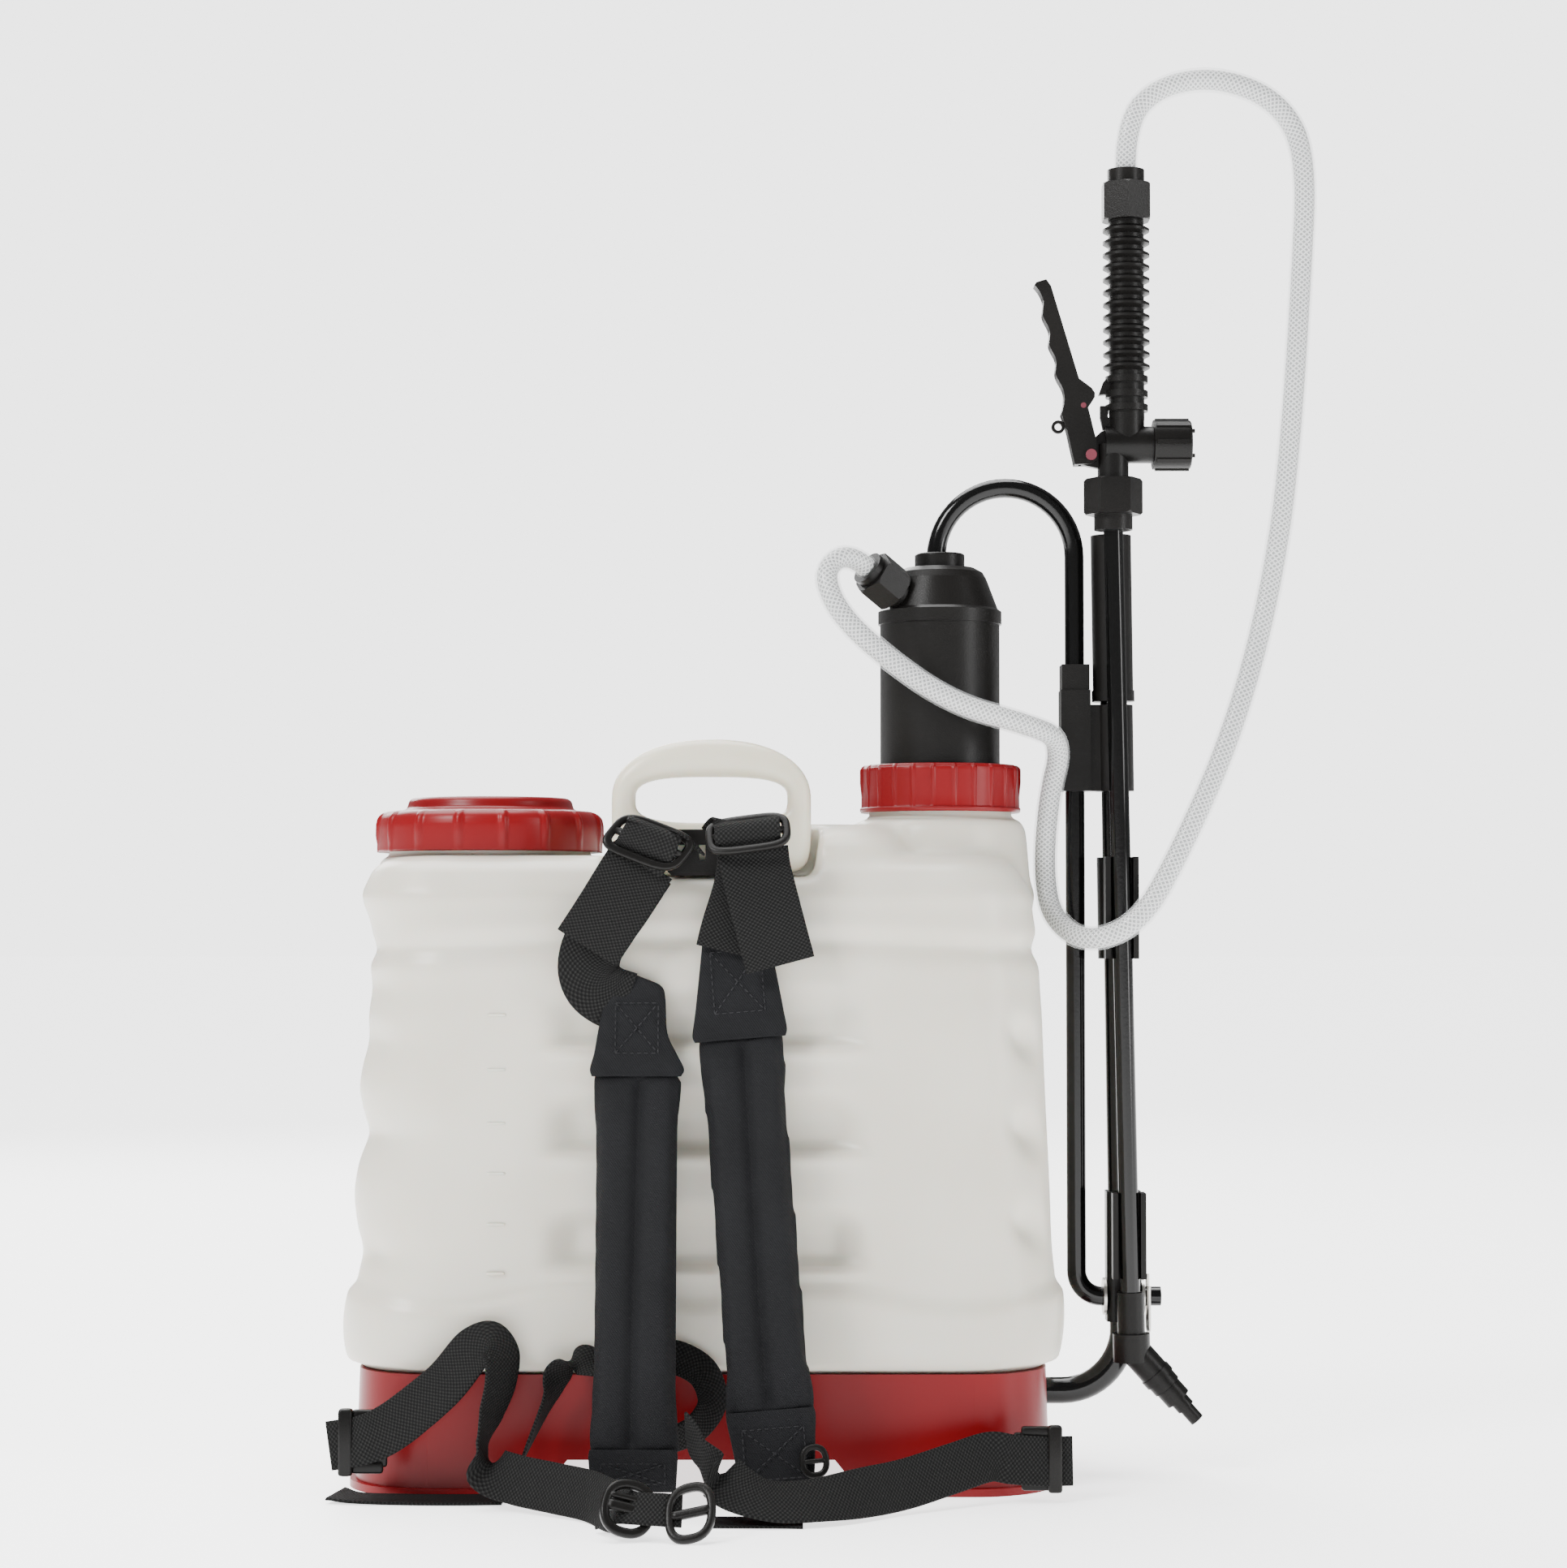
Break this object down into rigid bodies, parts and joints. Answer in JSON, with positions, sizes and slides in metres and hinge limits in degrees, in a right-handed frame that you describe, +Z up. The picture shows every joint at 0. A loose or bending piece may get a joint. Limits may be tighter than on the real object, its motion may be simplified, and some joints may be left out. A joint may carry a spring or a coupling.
{
  "type": "backpack sprayer",
  "caption": "Standing knapsack sprayer: white tank, red lid and base, side pump lever, piston pump with air chamber, clipped lance with hose, padded straps.",
  "frame": {"origin": "centre of the base's footprint, on the floor", "axes": "+Z up, -Y towards the strap side (the wearer's back), +X towards the pump and its lever"},
  "size_m": [0.5242, 0.3324, 0.7681],
  "materials": {
    "tank_plastic": "satin, slightly translucent",
    "red_plastic": "glossy moulded",
    "black_plastic": "fine grain",
    "black_steel": "gloss powder coat",
    "cream_plastic": "satin, slightly translucent",
    "burgundy_plastic": "satin moulded",
    "zinc_steel": "zinc plated",
    "grey_webbing": "woven",
    "dark_webbing": "woven, flat",
    "pad_fabric": "fine twill over foam",
    "clear_hose": "clear with white braid",
    "seal_rubber": "smooth",
    "white_plastic": "satin",
    "bright_steel": "drawn wire"
  },
  "bodies": {
    "tank": {"tank": "tank_plastic", "base": "red_plastic", "base_screws": "zinc_steel", "carry_handle": "cream_plastic", "handle_screws": "zinc_steel", "shaft_bushes": "black_plastic", "strainer_basket": "white_plastic", "pump_cylinder": "black_plastic", "cylinder_gasket": "seal_rubber", "foot_valve": "black_plastic", "suction_ball": "seal_rubber", "strap_anchor": "black_plastic", "triglides": "black_plastic", "strap_left": "grey_webbing", "strap_right": "grey_webbing", "pad_left": "pad_fabric", "pad_right": "pad_fabric", "lower_straps": "grey_webbing", "side_hooks": "black_plastic", "adjusters": "black_plastic", "waist_buckle": "black_plastic", "waist_strap": "dark_webbing", "hose_lower": "clear_hose", "hose_middle": "clear_hose"},
    "lid": {"filler_lid": "red_plastic", "lid_gasket": "seal_rubber", "lid_vent_valve": "seal_rubber"},
    "collar": {"collar_nut": "red_plastic"},
    "chamber": {"air_chamber": "black_plastic", "chamber_head": "black_plastic", "chamber_cap": "black_plastic", "piston_cup": "seal_rubber", "piston_retainer": "black_plastic", "delivery_ball": "seal_rubber", "lower_hose_nut": "black_plastic"},
    "lever": {"lever_tube": "black_steel", "lever_grip": "black_plastic", "stow_clip": "black_plastic", "lance_clip": "black_plastic", "lever_bracket": "black_plastic", "shaft_clip": "zinc_steel"},
    "link": {"link_rod": "black_steel", "r_clip": "zinc_steel", "rod_washers": "zinc_steel"},
    "lance": {"lance_tube": "black_steel", "lance_handle": "black_plastic", "grip_filter": "white_plastic", "valve_spring": "bright_steel", "lance_nut": "black_plastic", "upper_hose_nut": "black_plastic", "lance_ferrule": "black_plastic", "nozzle_elbow": "black_plastic", "nozzle_body": "black_plastic", "hose_upper": "clear_hose"},
    "trigger": {"trigger": "black_plastic", "trigger_pins": "burgundy_plastic"},
    "trigger_lock": {"trigger_lock": "black_plastic"},
    "valve_stem": {"valve_stem": "burgundy_plastic"},
    "valve_cap": {"valve_cap": "black_plastic"},
    "nozzle_cap": {"nozzle_cap": "black_plastic"}
  },
  "joints": [
    {"name": "lid_lift", "type": "slide", "parent": "tank", "child": "lid", "axis": [0, 0, 1], "range_m": [0, 0.06]},
    {"name": "collar_turn", "type": "hinge", "parent": "tank", "child": "collar", "pos_m": [0.128, 0, 0.36], "axis": [0, 0, 1], "range_deg": [0, 360]},
    {"name": "lever_swing", "type": "hinge", "parent": "tank", "child": "lever", "pos_m": [0.2, 0, 0.0423], "axis": [1, 0, 0], "range_deg": [0, 70], "deforming": ["hose_middle"]},
    {"name": "link_pivot", "type": "hinge", "parent": "lever", "child": "link", "pos_m": [0.2265, 0, 0.093], "axis": [1, 0, 0], "range_deg": [-77.5, 0]},
    {"name": "chamber_stroke", "type": "slide", "parent": "tank", "child": "chamber", "axis": [0, 0, -1], "range_m": [0, 0.0382], "deforming": ["hose_lower"]},
    {"name": "lance_release", "type": "slide", "parent": "lever", "child": "lance", "axis": [0, -1, 0], "range_m": [0, 0.06], "deforming": ["hose_upper"]},
    {"name": "trigger_squeeze", "type": "hinge", "parent": "lance", "child": "trigger", "pos_m": [0.2091, -0.017, 0.5486], "axis": [0, 1, 0], "range_deg": [0, 10], "stiffness_Nm_per_rad": 0.6},
    {"name": "stem_slide", "type": "slide", "parent": "lance", "child": "valve_stem", "axis": [1, 0, 0], "range_m": [0, 0.0012], "deforming": ["valve_spring"]},
    {"name": "trigger_lock_swing", "type": "hinge", "parent": "trigger", "child": "trigger_lock", "pos_m": [0.2051, -0.017, 0.5756], "axis": [0, 1, 0], "range_deg": [0, 12]},
    {"name": "valve_cap_turn", "type": "hinge", "parent": "lance", "child": "valve_cap", "pos_m": [0.25, -0.017, 0.5547], "axis": [1, 0, 0], "range_deg": [0, 360]},
    {"name": "nozzle_cap_turn", "type": "hinge", "parent": "lance", "child": "nozzle_cap", "pos_m": [0.23107, -0.017, 0.066], "axis": [0.6691, 0, -0.7431], "range_deg": [0, 360]}
  ],
  "couplings": [
    {"joint": "link_pivot", "follows": "lever_swing", "ratio": -1.106},
    {"joint": "chamber_stroke", "follows": "lever_swing", "m_per_rad": 0.0311},
    {"joint": "stem_slide", "follows": "trigger_squeeze", "m_per_rad": 0.0061}
  ]
}
